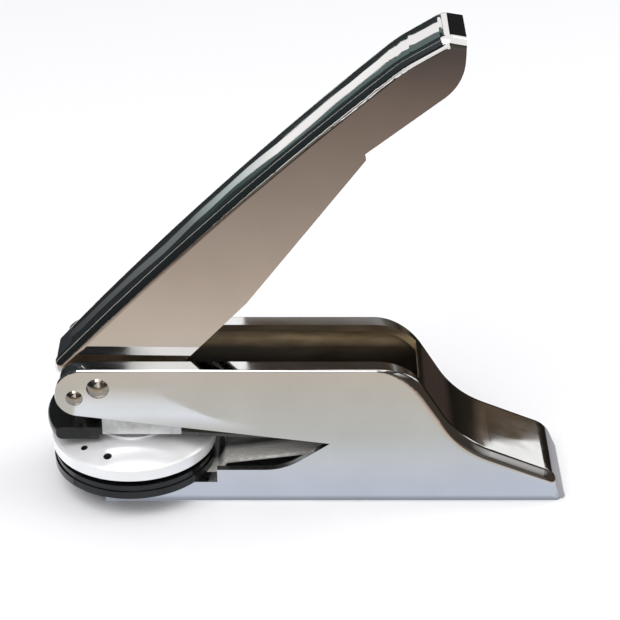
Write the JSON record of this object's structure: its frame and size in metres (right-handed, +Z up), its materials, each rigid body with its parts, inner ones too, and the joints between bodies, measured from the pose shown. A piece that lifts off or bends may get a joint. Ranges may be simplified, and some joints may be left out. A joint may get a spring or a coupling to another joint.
{
  "type": "seal embosser",
  "caption": "Hand press that embosses paper between two round dies: a long lever turns a cam that pushes the upper die down through a guided plunger, over a deep throat.",
  "frame": {"origin": "where the axis of the round dies meets the table, under the dies, in the middle plane", "axes": "+X from the nose to the tail, +Y to the far side, +Z up"},
  "size_m": [0.154, 0.0488, 0.145],
  "materials": {
    "chrome": "mirror-polished chrome plating",
    "steel": "plain machined steel",
    "spring_steel": "bright rolled spring strip",
    "block_zinc": "as-cast, lightly polished",
    "base_coat": "satin black",
    "die_black": "gloss black"
  },
  "bodies": {
    "frame": {"body_shell": "chrome", "base_plate": "base_coat", "base_screws": "steel", "jaw_block": "block_zinc", "nose_block": "block_zinc", "nose_guard": "die_black", "lever_pivot_rivet": "chrome", "front_rivet": "chrome", "pivot_washers": "steel", "return_spring": "steel", "lower_die": "die_black", "lower_die_holder": "die_black", "lower_holder_screws": "steel", "die_clip": "spring_steel", "clip_rivets": "steel"},
    "lever": {"lever_shell": "chrome", "press_cam": "steel", "cam_rivets": "steel"},
    "ram": {"plunger": "steel", "upper_die_holder": "chrome", "upper_holder_screw": "steel", "upper_die": "die_black"}
  },
  "joints": [
    {"name": "lever_hinge", "type": "hinge", "parent": "frame", "child": "lever", "pos_m": [-0.0084, 0, 0.0396], "axis": [0, 1, 0], "range_deg": [0, 40], "stiffness_Nm_per_rad": 0.6, "springref_deg": -20.05},
    {"name": "ram_slide", "type": "slide", "parent": "frame", "child": "ram", "axis": [0, 0, -1], "range_m": [0, 0.0021], "deforming": ["return_spring", "die_clip"]}
  ],
  "couplings": [
    {"joint": "ram_slide", "follows": "lever_hinge", "m_per_rad": 0.003008}
  ]
}
